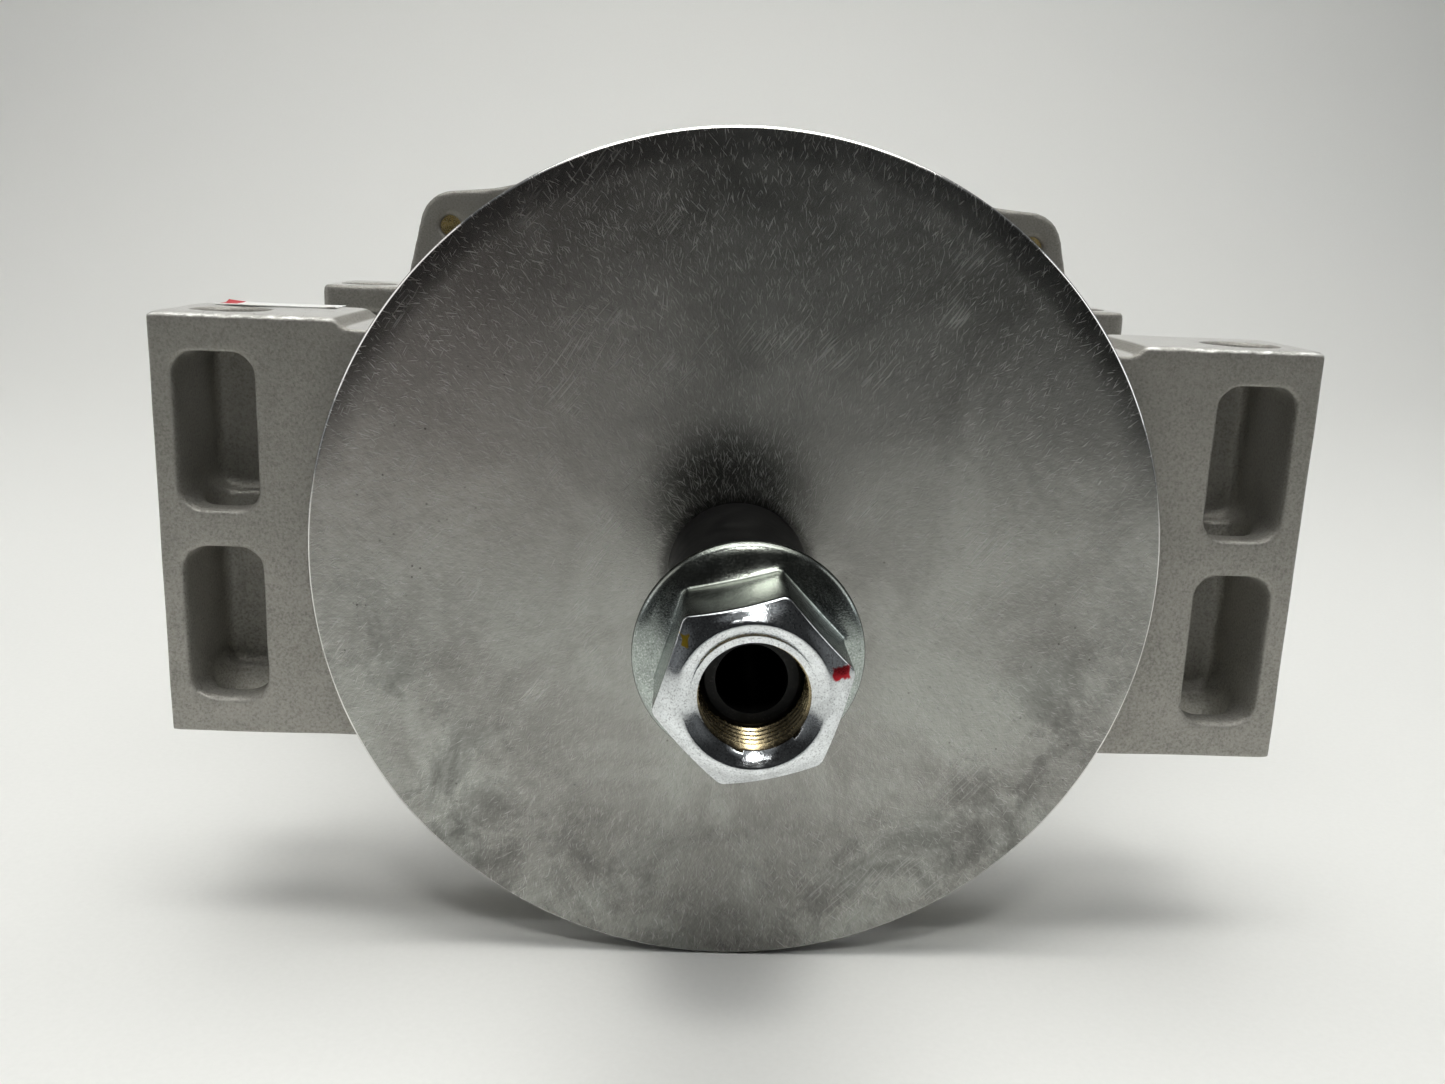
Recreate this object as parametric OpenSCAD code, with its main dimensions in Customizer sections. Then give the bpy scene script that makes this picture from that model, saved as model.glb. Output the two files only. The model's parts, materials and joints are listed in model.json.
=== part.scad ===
// Rotary pneumatic actuator: a twin rack-and-pinion drive turns a hollow shaft that carries
// a large output disc. The shaft lies along Y with its nose towards -Y, and +Z is up.
// The origin is on the shaft axis, in the plane of the disc's front face.

/* [Output disc] */
// Diameter of the output disc
disc_d = 154; // [152:0.5:156]
// Thickness of the output disc
disc_t = 5; // [4:0.5:5]
// Chamfer on the disc's rim
disc_chamfer = 0.5; // [0.3:0.1:1]

/* [Shaft and nut] */
// Diameter of the shaft's nose, between the disc and the nut
nose_d = 25; // [24:0.5:26]
// Length of the nose, from the disc's face to the nut
nose_len = 46.5; // [40:0.5:60]
// Nominal diameter of the thread at the nose's end
thread_d = 16; // [15:0.5:16]
// Diameter of the passage through the shaft
shaft_bore_d = 10; // [8:0.5:10]
// Width of the nut across its flats
nut_af = 24.3; // [24:0.1:25]
// Height of the nut with its flange
nut_h = 19.3; // [18:0.1:20]
// Diameter of the nut's flange
nut_flange_d = 34; // [32:0.5:36]
// Turn of the nut's corners away from the X axis
nut_turn = 15.5; // [0:0.5:60]

/* [Mounting lugs] */
// Distance from the centre to a lug's outer face
lug_x = 107.3; // [107:0.1:109]
// Height of the lugs' machined top pads above the shaft axis
lug_top = 42; // [42:0.5:44]
// Depth of the lugs' underside below the shaft axis
lug_bottom = 38.3; // [38:0.1:40]
// Diameter of the vertical bolt holes
bolt_hole_d = 13; // [10:0.5:13]
// Distance of the bolt holes from the centre
bolt_x = 96; // [95.5:0.1:96.5]
// Height of the machined pads above the cast shelf
pad_step = 2; // [1:0.5:2]

/* [Castings] */
// Front plane of the front casting
front_y = 10.8; // [10.8:0.1:11]
// Depth of a lug along the shaft
lug_depth = 28; // [28:0.5:29]
// Radius of the round body of both castings
body_r = 70; // [69:0.5:71]
// Front plane of the rear lugs
rear_lug_y = 121; // [121:0.5:122]
// Distance from the centre to a rear lug's outer face
rear_lug_x = 105.5; // [105:0.5:107]
// Sideways shift of the rear housing's outline
box_shift = 4.6; // [3:0.1:4.6]
// Half the width of the rear housing
box_half = 95; // [94.5:0.5:95.5]
// Height of the rear housing's crown above the shaft axis
box_crown = 76.5; // [75:0.5:77]
// Radius of the rear housing's crown
crown_r = 300; // [280:10:320]
// Thickness of the rear cover
cover_t = 8; // [8:0.5:9]

/* [Rack drive] */
// Gear module
gear_m = 1.5; // [1.5]
// Teeth on the pinion
teeth = 20; // [20]
// Diameter of the cylinder bores
cyl_d = 32; // [32]
// Total play between a tooth and its gap, on the pitch line
backlash = 0.2; // [0.16:0.02:0.3]

/* [Hidden] */
$fn = 96;
e = 0.1;                                // extra length that lets a cut run past a face
socket_depth = 0.55;                    // share of a screw head's height that its socket takes

cast_colour = [0.56, 0.55, 0.53];
steel_colour = [0.50, 0.50, 0.50];
black_colour = [0.06, 0.06, 0.065];
zinc_colour = [0.78, 0.81, 0.82];
yellow_zinc_colour = [0.66, 0.56, 0.30];
bright_colour = [0.75, 0.75, 0.76];
rubber_colour = [0.05, 0.05, 0.05];
bronze_colour = [0.62, 0.42, 0.22];
band_colour = [0.30, 0.22, 0.14];
paper_colour = [0.35, 0.42, 0.38];

// Shaft steps, measured along +Y
disc_back = disc_t;
flange_back = disc_t + 4.5;
flange_r = 27;
journal_r = 17.5;                       // where the front seal runs
front_brg_y = 20;
front_brg_w = 16;
bearing_bore_r = 15;
nose_r = nose_d / 2;
nut_back = -nose_len;
nut_front = -nose_len - nut_h;
shaft_nose = nut_front + 7.8;             // the shaft stops short of the nut's mouth
thread_r = thread_d / 2 - 0.45;         // one plain radius stands for both threads
fit_gap = 0.05;                         // radial clearance of a running fit

// Front casting
lug_back = front_y + lug_depth;
boss_back = front_y + 37.2;
boss_r = 54;
cap_y = 15;
cap_r = 44;
cap_recess_r = 47;
front_brg_r = 31;
tube_r = 46;
tube_bore_r = 40;
tube_y0 = boss_back - 6;

// Rear casting
rear_body_y = rear_lug_y - 4;
rear_front = rear_lug_y - 0.9;           // the lugs stand a little proud of the bearing's wall
rear_brg_w = 13;
rear_brg_r = 27.5;
rear_brg_y = rear_lug_y + 2;
rear_shoulder = rear_brg_y + rear_brg_w;
tube_y1 = rear_lug_y;
box_y = rear_lug_y + 27;
box_depth = 44;
box_back = box_y + box_depth;
box_bottom = -72;
foot_z = -disc_d / 2;
cyl_y = box_y + box_depth / 2;
gasket_t = 0.5;
cover_y = box_back + gasket_t;
cover_back = cover_y + cover_t;
boss_rear = cover_back + 5;
screw_dx = 81.8;
screw_z = 57.7;
screw_r = 3;

// Gear and racks
pitch_r = gear_m * teeth / 2;
tip_r = pitch_r + gear_m;
root_r = pitch_r - 1.25 * gear_m;
pressure = 20;
tooth_pitch = PI * gear_m;
pinion_w = 18;
pinion_y = cyl_y - pinion_w / 2;
pinion_bore_r = 8.5;
chamber_r = 17.5;
cyl_r = cyl_d / 2;
rack_r = 14.5;
cyl_z = pitch_r + 9;
stroke = PI * pitch_r / 2;              // travel for a quarter turn
rack_half = 38.5;
piston_w = 10;
piston_r = cyl_r - 0.1;
piston_end = rack_half + piston_w;
plug_x0 = 73.5;
plug_nose = 3;
plug_x1 = plug_x0 + 10;
circlip_w = 1.5;
passage_x = plug_x0 + plug_nose / 2;
port_r = 4.4;
passage_r = 1.5;
mouth_x = 90.5;                         // plane of the machined face around each cylinder's mouth
stroke_screw_r = 3;

// Fasteners
tie_xy = 43;
tie_r = 4;
tie_head_r = 6.5;
cap_screw_pcr = 38;
cap_screw_r = 2.5;
disc_screw_pcr = 22;
disc_screw_r = 2;
key_w = 5;

// ---- Helpers -------------------------------------------------------------------------------

// A cylinder along Y
module rod_y(y0, y1, r, x = 0, z = 0) {
    translate([x, y0, z]) rotate([-90, 0, 0]) cylinder(h = y1 - y0, r = r);
}

// A cylinder along X
module rod_x(x0, x1, r, y = 0, z = 0) {
    translate([x0, y, z]) rotate([0, 90, 0]) cylinder(h = x1 - x0, r = r);
}

// An outline drawn in X and Z, extruded along Y
module slab(y0, y1) {
    translate([0, y1, 0]) rotate([90, 0, 0]) linear_extrude(y1 - y0) children();
}

// A profile of [radius, y] points turned about the shaft axis
module lathe(points) {
    rotate([-90, 0, 0]) rotate_extrude() polygon(points);
}

module ring_y(y0, y1, r_in, r_out, x = 0, z = 0) {
    difference() {
        rod_y(y0, y1, r_out, x, z);
        rod_y(y0 - e, y1 + e, r_in, x, z);
    }
}

module ring_x(x0, x1, r_in, r_out, y = 0, z = 0) {
    difference() {
        rod_x(x0, x1, r_out, y, z);
        rod_x(x0 - e, x1 + e, r_in, y, z);
    }
}

module both_sides() {
    children();
    mirror([1, 0, 0]) children();
}

module above_and_below() {
    children();
    mirror([0, 0, 1]) children();
}

// A rectangle with round corners
module round_rect(x0, z0, x1, z1, r) {
    translate([x0 + r, z0]) square([x1 - x0 - 2 * r, z1 - z0]);
    translate([x0, z0 + r]) square([x1 - x0, z1 - z0 - 2 * r]);
    for (x = [x0 + r, x1 - r], z = [z0 + r, z1 - r]) translate([x, z]) circle(r);
}

// A socket-head cap screw along +Y: its head lies before y = 0 and its shank runs to len
module cap_screw(r, len, head_r, head_h) {
    difference() {
        union() {
            rod_y(-head_h, 0, head_r);
            rod_y(-e, len, r);
        }
        translate([0, -head_h - e, 0]) rotate([-90, 0, 0])
            cylinder(h = head_h * socket_depth + e, r = r * 0.95, $fn = 6);
    }
}

// ---- Castings ------------------------------------------------------------------------------

// The bridge between the two lugs, with raised pads on top of the lugs
module lug_bridge(y0, half) {
    pad_in = 74;
    slab(y0, y0 + lug_depth)
        polygon([
            [-half, -lug_bottom], [half, -lug_bottom], [half, lug_top], [pad_in, lug_top],
            [pad_in - pad_step, lug_top - pad_step], [pad_step - pad_in, lug_top - pad_step],
            [-pad_in, lug_top], [-half, lug_top]
        ]);
}

// What the lugs lose: two pockets open to the front, cored hollows open to the back,
// and the bolt hole that runs down through the pockets
module lug_cuts(y0, hole_y, back_hollows) {
    pocket_in = 88.6;
    pocket_out = 103;
    web_top = 5.8;
    pocket_top = 35.1;
    pocket_depth = 22;
    corner = 4;
    hollow_in = 77;
    hollow_out = 85;
    both_sides() {
        slab(y0 - e, y0 + pocket_depth)
            round_rect(pocket_in, web_top, pocket_out, pocket_top, corner);
        slab(y0 - e, y0 + pocket_depth)
            round_rect(pocket_in, -30.9, pocket_out, -1.4, corner);
        translate([bolt_x, hole_y, -lug_bottom - e])
            cylinder(h = lug_bottom + lug_top + 2 * e, r = bolt_hole_d / 2);
        if (back_hollows)
            for (z = [[-32, -1], [5, 35]])
                slab(y0 + 8, y0 + lug_depth + e)
                    round_rect(hollow_in, z[0], hollow_out, z[1], 3);
    }
}

module tie_holes(y0, y1, r) {
    for (x = [-tie_xy, tie_xy], z = [-tie_xy, tie_xy]) rod_y(y0, y1, r, x, z);
}

module front_housing() color(cast_colour) {
    hollow_r0 = 56;
    hollow_r1 = 66;
    difference() {
        union() {
            lathe([[26, front_y], [body_r, front_y], [body_r, lug_back], [26, lug_back]]);
            lug_bridge(front_y, lug_x);
            rod_y(lug_back - e, boss_back, boss_r);
        }
        lug_cuts(front_y, hole_y = front_y + 12.2, back_hollows = true);
        rod_y(front_y - e, cap_y, cap_recess_r);
        rod_y(cap_y - e, front_brg_y, cap_r);
        rod_y(front_brg_y - e, front_brg_y + front_brg_w, front_brg_r);
        rod_y(front_brg_y, boss_back + e, 26);
        rod_y(tube_y0, boss_back + e, tube_r);
        tie_holes(front_y - e, lug_back + e, tie_r + 0.2);
        tie_holes(front_y - e, front_y + 10, tie_head_r + 0.4);
        for (i = [0:5]) rotate([0, 60 * i, 0])
            rod_y(front_brg_y - e, front_brg_y + 9, cap_screw_r, cap_screw_pcr);
        // cored arcs in the rear face, between the ties
        difference() {
            ring_y(front_y + 9, lug_back + e, hollow_r0, hollow_r1);
            tie_holes(front_y, lug_back + 2 * e, 13);
            for (a = [0, 90]) rotate([0, a, 0])
                translate([-body_r, front_y, -4]) cube([2 * body_r, 2 * lug_depth, 8]);
        }
    }
}

// The rear housing's outline: an arched crown, leaning shoulders and a flat bottom
function crown_z(x) = box_crown - crown_r + sqrt(crown_r * crown_r - x * x);

// Points of a round corner between two edges at the given angles
function corner(cx, cz, r, a0, a1, n = 8) =
    [for (i = [0:n]) let (a = a0 + (a1 - a0) * i / n) [cx + r * cos(a), cz + r * sin(a)]];

half_outline = let (crown_n = 12, crown_end = 76, lean = 14) concat(
    corner(box_half - 12, box_bottom + 12, 12, -90, 0),
    [[box_half, 38]],
    corner(box_half - 14.8, 57.4, 10, lean, 90 - lean),
    [for (i = [1:crown_n]) let (x = crown_end * (1 - i / crown_n)) [x, crown_z(x)]]
);

module box_outline() {
    half = half_outline;
    count = len(half);
    translate([box_shift, 0])
        polygon(concat(half, [for (i = [count - 2:-1:0]) [-half[i][0], half[i][1]]]));
}

module box_screw_places() {
    for (x = [-screw_dx, screw_dx], z = [-screw_z, screw_z])
        translate([box_shift + x, 0, z]) children();
}

module air_groove(y0, y1, sign) {
    // from one upper cylinder's end to the other side's lower one, round the shaft
    bend = 24;
    width = 3;
    points = [
        [-sign * passage_x, cyl_z], [-sign * bend, sign * bend],
        [sign * bend, sign * bend], [sign * passage_x, -cyl_z]
    ];
    for (i = [0:2]) {
        a = points[i];
        b = points[i + 1];
        run = b - a;
        translate([a[0], y0, a[1]]) rotate([0, -atan2(run[1], run[0]), 0])
            translate([-width / 2, 0, -width / 2]) cube([norm(run) + width, y1 - y0, width]);
    }
}

module rack_housing() color(cast_colour) {
    foot_w = 30;
    difference() {
        union() {
            rod_y(rear_body_y, box_y + e, body_r);
            lug_bridge(rear_front, rear_lug_x);
            slab(box_y, box_back) box_outline();
            for (x = [box_shift - 80, box_shift + 80 - foot_w])
                translate([x, box_y + 3, foot_z])
                    cube([foot_w, box_depth - 6, box_bottom - foot_z + 2]);
        }
        lug_cuts(rear_front, hole_y = rear_front + 12.2, back_hollows = false);
        // bearing, spindle tube and tie bolts
        rod_y(rear_body_y - e, rear_lug_y, tube_r);
        rod_y(rear_lug_y - e, rear_shoulder, rear_brg_r);
        ring_y(rear_brg_y - 1.6, rear_brg_y - 0.1, rear_brg_r - 1, rear_brg_r + 1);
        rod_y(rear_shoulder - e, box_y + 7, 13.2);
        tie_holes(rear_body_y - e, rear_body_y + 20, tie_r);
        // cylinders, their mouths and the pinion's chamber
        rod_y(box_y + 6, box_back + e, chamber_r);
        above_and_below() both_sides() {
            rod_x(-e, mouth_x + 20, cyl_r, cyl_y, cyl_z);
            rod_x(mouth_x, mouth_x + 20, cyl_r + 4, cyl_y, cyl_z);
            ring_x(plug_x1, plug_x1 + circlip_w, cyl_r - 1, cyl_r + 1.2, cyl_y, cyl_z);
            rod_y(cyl_y + cyl_r - 1, box_back + e, passage_r, passage_x, cyl_z);
        }
        air_groove(box_back - 2, box_back + e, 1);
        box_screw_places() rod_y(box_y - 1, box_back + e, screw_r + 0.05);
    }
}

module rear_cover() color(cast_colour) {
    difference() {
        union() {
            slab(cover_y, cover_back) box_outline();
            slab(cover_back - e, cover_back + 2.5) scale([0.8, 0.8]) box_outline();
            rod_y(cover_back, boss_rear, 22);
            for (x = [-passage_x, passage_x]) rod_y(cover_back, boss_rear, 9, x, cyl_z);
        }
        rod_y(cover_y - e, boss_rear + e, 14);
        for (x = [-passage_x, passage_x]) {
            rod_y(cover_y + 2, boss_rear + e, port_r, x, cyl_z);
            rod_y(cover_y - e, cover_y + 3, passage_r, x, cyl_z);
            rod_y(cover_y - e, cover_y + 2, passage_r, x, -cyl_z);
        }
        air_groove(cover_y - e, cover_y + 1.5, -1);
        box_screw_places() {
            rod_y(cover_y - e, cover_back + e, screw_r + 0.2);
            rod_y(cover_back - 4, cover_back + 10, 5.6);
        }
    }
}

module rear_cover_gasket() color(paper_colour) difference() {
    slab(box_back, cover_y) box_outline();
    rod_y(box_back - e, cover_y + e, chamber_r);
    for (x = [-passage_x, passage_x], z = [-cyl_z, cyl_z])
        rod_y(box_back - e, cover_y + e, passage_r, x, z);
    box_screw_places() rod_y(box_back - e, cover_y + e, screw_r + 0.2);
}

module rear_cover_screws() color(yellow_zinc_colour)
    box_screw_places() translate([0, cover_back - 4, 0]) mirror([0, 1, 0])
        cap_screw(screw_r, cover_back - 4 - box_y - 1.8, 5, 6);

module rear_bush() color(bronze_colour)
    ring_y(cover_y, boss_rear - 5, pinion_bore_r + fit_gap, 14);

module rear_shaft_seal() color(rubber_colour) lathe([
    [14, boss_rear - 5], [14, boss_rear - 0.5], [pinion_bore_r + 2, boss_rear - 0.5],
    [pinion_bore_r + 2, boss_rear - 1.4], [pinion_bore_r + fit_gap, boss_rear - 2],
    [pinion_bore_r + fit_gap, boss_rear - 2.6], [pinion_bore_r + 2, boss_rear - 3.4],
    [pinion_bore_r + 2, boss_rear - 5]
]);

module spindle_tube() color(bright_colour) difference() {
    rod_y(tube_y0, tube_y1, tube_r);
    rod_y(tube_y0 - e, tube_y1 + e, tube_bore_r);
    for (y = [tube_y0 + 1.5, tube_y1 - 3.5]) ring_y(y, y + 2, tube_r - 1.5, tube_r + 1);
}

module spindle_tube_orings() color(rubber_colour)
    for (y = [tube_y0 + 2.5, tube_y1 - 2.5]) translate([0, y, 0]) rotate([-90, 0, 0])
        rotate_extrude() translate([tube_r - 0.75, 0]) circle(0.75, $fn = 24);

module tie_bolts() color(zinc_colour)
    for (x = [-tie_xy, tie_xy], z = [-tie_xy, tie_xy])
        translate([x, front_y + 10, z])
            cap_screw(tie_r, rear_body_y + 18 - front_y - 10, tie_head_r, 8);

// ---- Bearings and seals --------------------------------------------------------------------

module front_bearing_cap() color(bright_colour) difference() {
    rod_y(cap_y, front_brg_y, cap_r);
    rod_y(cap_y - e, front_brg_y + e, 24);
    for (i = [0:5]) rotate([0, 60 * i, 0])
        rod_y(cap_y - e, front_brg_y + e, cap_screw_r + 0.2, cap_screw_pcr);
}

module bearing_cap_screws() color(black_colour)
    for (i = [0:5]) rotate([0, 60 * i, 0]) translate([cap_screw_pcr, cap_y, 0])
        cap_screw(cap_screw_r, 12, 4.25, 2.8);

module front_shaft_seal() color(rubber_colour) lathe([
    [24, cap_y + 0.2], [24, front_brg_y], [journal_r + 2.5, front_brg_y],
    [journal_r + 2.5, cap_y + 3.6], [journal_r + fit_gap, cap_y + 2.8],
    [journal_r + fit_gap, cap_y + 2.2], [journal_r + 2, cap_y + 0.2]
]);

// A deep-groove ball bearing: sizes as [front plane, width, inner r, outer r, ball r, balls]
front_brg = [front_brg_y, front_brg_w, bearing_bore_r, front_brg_r, 4.76, 9];
rear_brg = [rear_brg_y, rear_brg_w, bearing_bore_r, rear_brg_r, 3.57, 11];

function pitch_circle(b) = (b[2] + b[3]) / 2;
function brg_mid(b) = b[0] + b[1] / 2;
groove_gap = 0.12;
shoulder_share = 0.68;

module race_groove(b) {
    translate([0, brg_mid(b), 0]) rotate([-90, 0, 0])
        rotate_extrude() translate([pitch_circle(b), 0]) circle(b[4] + groove_gap, $fn = 48);
}

module outer_ring(b) color(bright_colour) difference() {
    ring_y(b[0], b[0] + b[1], pitch_circle(b) + b[4] * shoulder_share, b[3]);
    race_groove(b);
}

module inner_ring(b) color(bright_colour) difference() {
    ring_y(b[0], b[0] + b[1], b[2], pitch_circle(b) - b[4] * shoulder_share);
    race_groove(b);
}

module balls(b, r) {
    for (i = [0:b[5] - 1]) rotate([0, 360 / b[5] * i, 0])
        translate([pitch_circle(b), brg_mid(b), 0]) sphere(r, $fn = 32);
}

module cage(b) color(bronze_colour) difference() {
    ring_y(
        brg_mid(b) - b[4] * 0.9, brg_mid(b) + b[4] * 0.9,
        pitch_circle(b) - b[4] * 0.3, pitch_circle(b) + b[4] * 0.3
    );
    for (i = [0:b[5] - 1]) rotate([0, 360 / b[5] * i, 0])
        rod_x(pitch_circle(b) - b[4], pitch_circle(b) + b[4], b[4] + 0.1, brg_mid(b), 0);
}

module rear_bearing_circlip() color(black_colour) difference() {
    ring_y(rear_brg_y - 1.5, rear_brg_y - 0.2, rear_brg_r - 2.5, rear_brg_r + 0.9);
    translate([-3, rear_brg_y - 2, 0]) cube([6, 3, 40]);
}

module bearing_spacer_sleeve() color(steel_colour)
    ring_y(front_brg_y + front_brg_w, rear_brg_y, bearing_bore_r, 18);

// ---- Turning parts -------------------------------------------------------------------------

module output_shaft() color(black_colour) difference() {
    lathe([
        [shaft_bore_d / 2, shaft_nose], [thread_r - 1, shaft_nose], [thread_r, shaft_nose + 1],
        [thread_r, nut_back], [nose_r, nut_back], [nose_r, disc_back],
        [flange_r, disc_back], [flange_r, flange_back], [journal_r, flange_back],
        [journal_r, front_brg_y], [bearing_bore_r, front_brg_y],
        [bearing_bore_r, rear_shoulder], [12.5, rear_shoulder], [12.5, pinion_y],
        [pinion_bore_r, pinion_y], [pinion_bore_r, boss_rear - 1],
        [shaft_bore_d / 2, boss_rear - 1]
    ]);
    translate([pinion_bore_r - 2.5, pinion_y, -key_w / 2]) cube([10, pinion_w, key_w]);
    ring_y(pinion_y + pinion_w + 0.1, pinion_y + pinion_w + 1.4, pinion_bore_r - 0.7, 12);
    disc_screw_places() rod_y(0, flange_back + e, disc_screw_r + 0.1);
}

module disc_screw_places() {
    for (i = [0:5]) rotate([0, 60 * i + 30, 0]) translate([disc_screw_pcr, 0, 0]) children();
}

module output_disc() color(steel_colour) difference() {
    lathe([
        [nose_r, 0], [disc_d / 2 - disc_chamfer, 0], [disc_d / 2, disc_chamfer],
        [disc_d / 2, disc_t], [nose_r, disc_t]
    ]);
    disc_screw_places() rod_y(disc_t - 3.8, disc_t + e, disc_screw_r);
}

module disc_screws() color(zinc_colour)
    disc_screw_places() translate([0, flange_back, 0]) mirror([0, 1, 0])
        cap_screw(disc_screw_r, flange_back - disc_t + 3.4, 3.5, 2.2);

module flange_nut() color(zinc_colour) {
    hex_r = nut_af / 2 / cos(30);
    rim = 2.1;                          // height of the flange's rim
    cone_top = 3.6;                     // where the flange's cone meets the hexagon
    mouth_r = 9.8;                      // countersink at the mouth
    difference() {
        union() {
            lathe([
                [thread_r, nut_back], [nut_flange_d / 2 - 0.4, nut_back],
                [nut_flange_d / 2, nut_back - 0.5], [nut_flange_d / 2, nut_back - rim],
                [nut_af / 2, nut_back - cone_top], [thread_r, nut_back - cone_top]
            ]);
            intersection() {
                translate([0, nut_front, 0]) rotate([-90, 0, 0]) rotate([0, 0, -nut_turn])
                    cylinder(h = nut_h - rim, r = hex_r, $fn = 6);
                lathe([
                    [0, nut_front], [10.4, nut_front], [hex_r + 1, nut_front + 2.9],
                    [hex_r + 1, nut_back], [0, nut_back]
                ]);
            }
        }
        rod_y(nut_front - e, nut_back + e, thread_r + fit_gap);
        lathe([
            [0, nut_front - e], [mouth_r + e, nut_front - e],
            [thread_r, nut_front + mouth_r - thread_r], [0, nut_front + mouth_r - thread_r]
        ]);
    }
}

// Angle in degrees that the involute has turned through at radius r
function involute(r) = let (
    base = pitch_r * cos(pressure),
    a = r <= base ? 0 : acos(base / r)
) tan(a) * 180 / PI - a;

// Half of a tooth's angular width at radius r
function half_tooth(r) =
    90 / teeth - backlash / 4 / pitch_r * 180 / PI + involute(pitch_r) - involute(r);

function tooth_side(sign) = let (steps = 7, base = pitch_r * cos(pressure)) [
    for (i = [0:steps + 1])
        let (r = i == 0 ? root_r : base + (tip_r - base) * (i - 1) / steps)
            [r, sign * half_tooth(r)]
];

function reversed(v) = [for (i = [len(v) - 1:-1:0]) v[i]];

module pinion() color(steel_colour) difference() {
    slab(pinion_y, pinion_y + pinion_w) polygon([
        for (k = [0:teeth - 1]) for (p = concat(tooth_side(-1), reversed(tooth_side(1))))
            let (a = 90 + 360 / teeth * k + p[1]) [p[0] * cos(a), p[0] * sin(a)]
    ]);
    rod_y(pinion_y - e, pinion_y + pinion_w + e, pinion_bore_r);
    translate([0, pinion_y - e, -key_w / 2]) cube([10.8, pinion_w + 2 * e, key_w]);
}

module pinion_key() color(steel_colour)
    translate([pinion_bore_r - 2.5, pinion_y, -key_w / 2]) cube([4.7, pinion_w, key_w]);

module pinion_circlip() color(black_colour) difference() {
    ring_y(pinion_y + pinion_w + 0.15, pinion_y + pinion_w + 1.35, pinion_bore_r - 0.6, 11.5);
    translate([-2.5, pinion_y + pinion_w, 0]) cube([5, 3, 20]);
}

// ---- Racks and pistons: each is drawn above the pinion and mirrored for the lower one --------

module rack() {
    gaps = 7;
    tip_z = pitch_r - gear_m;
    root_z = pitch_r + 1.25 * gear_m;
    mid = tooth_pitch / 4 + backlash / 4;
    at_tip = mid + (gear_m + 1) * tan(pressure);
    at_root = mid - 1.25 * gear_m * tan(pressure);
    difference() {
        rod_x(-rack_half, rack_half, rack_r, cyl_y, cyl_z);
        translate([-rack_half - e, cyl_y - cyl_r, tip_z - cyl_r])
            cube([2 * rack_half + 2 * e, 2 * cyl_r, cyl_r]);
        for (k = [-gaps:gaps])
            slab(cyl_y - cyl_r, cyl_y + cyl_r) polygon([
                [k * tooth_pitch - at_tip, tip_z - 1], [k * tooth_pitch + at_tip, tip_z - 1],
                [k * tooth_pitch + at_root, root_z], [k * tooth_pitch - at_root, root_z]
            ]);
        both_sides() rod_x(rack_half - 14, rack_half + e, 2.5, cyl_y, cyl_z);
    }
}

seal_x = rack_half + 5.4;
seal_w = 3.2;
band_x = rack_half + 1;
band_w = 3;

module pistons() both_sides() difference() {
    rod_x(rack_half, piston_end, piston_r, cyl_y, cyl_z);
    ring_x(seal_x, seal_x + seal_w, cyl_r - 3, cyl_r, cyl_y, cyl_z);
    ring_x(band_x, band_x + band_w, cyl_r - 1.5, cyl_r, cyl_y, cyl_z);
    rod_x(rack_half - e, piston_end + e, 2.7, cyl_y, cyl_z);
    rod_x(piston_end - 5.5, piston_end + e, 4.6, cyl_y, cyl_z);
}

module piston_seals() both_sides()
    ring_x(seal_x, seal_x + seal_w, cyl_r - 3, cyl_r - 0.03, cyl_y, cyl_z);

module wear_bands() both_sides()
    ring_x(band_x, band_x + band_w, cyl_r - 1.5, cyl_r - fit_gap, cyl_y, cyl_z);

module piston_screws() both_sides() translate([piston_end - 5.5, cyl_y, cyl_z])
    rotate([0, 0, 90]) cap_screw(2.5, 17, 4.25, 5);

module below() mirror([0, 0, 1]) children();

// ---- Cylinder ends -------------------------------------------------------------------------

module end_plugs(threaded) above_and_below() difference() {
    union() {
        rod_x(plug_x0, plug_x0 + plug_nose + e, cyl_r - 3.5, cyl_y, cyl_z);
        rod_x(plug_x0 + plug_nose, plug_x1, cyl_r - fit_gap, cyl_y, cyl_z);
    }
    ring_x(plug_x0 + 5.5, plug_x0 + 7.5, cyl_r - 1.6, cyl_r + 1, cyl_y, cyl_z);
    if (threaded)
        rod_x(plug_x0 - e, plug_x1 + e, stroke_screw_r + fit_gap, cyl_y, cyl_z);
    else
        rod_x(plug_x1 - 6, plug_x1 + e, 2, cyl_y, cyl_z);
}

module end_plug_orings() color(rubber_colour) both_sides() above_and_below()
    translate([plug_x0 + 6.5, cyl_y, cyl_z]) rotate([0, 90, 0])
        rotate_extrude() translate([cyl_r - 0.8, 0]) circle(0.78, $fn = 24);

module end_plug_circlips() color(black_colour) both_sides() above_and_below() difference() {
    ring_x(plug_x1 + 0.05, plug_x1 + circlip_w - 0.1, cyl_r - 2.2, cyl_r + 1.1, cyl_y, cyl_z);
    translate([plug_x1 - 1, cyl_y - 4, cyl_z]) cube([4, 8, 30]);
}

module stroke_screw() {
    tip_x = piston_end + stroke + 0.5;
    end_x = plug_x1 + 13.5;
    difference() {
        rod_x(tip_x, end_x, stroke_screw_r, cyl_y, cyl_z);
        translate([end_x - 4, cyl_y, cyl_z]) rotate([0, 90, 0])
            cylinder(h = 4 + e, r = 1.7, $fn = 6);
    }
}

module stroke_lock_nuts() color(zinc_colour) above_and_below() difference() {
    translate([plug_x1, cyl_y, cyl_z]) rotate([0, 90, 0]) cylinder(h = 5, r = 5.77, $fn = 6);
    rod_x(plug_x1 - e, plug_x1 + 6, stroke_screw_r + fit_gap, cyl_y, cyl_z);
}

// ---- One line for each node ------------------------------------------------------------------

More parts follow.
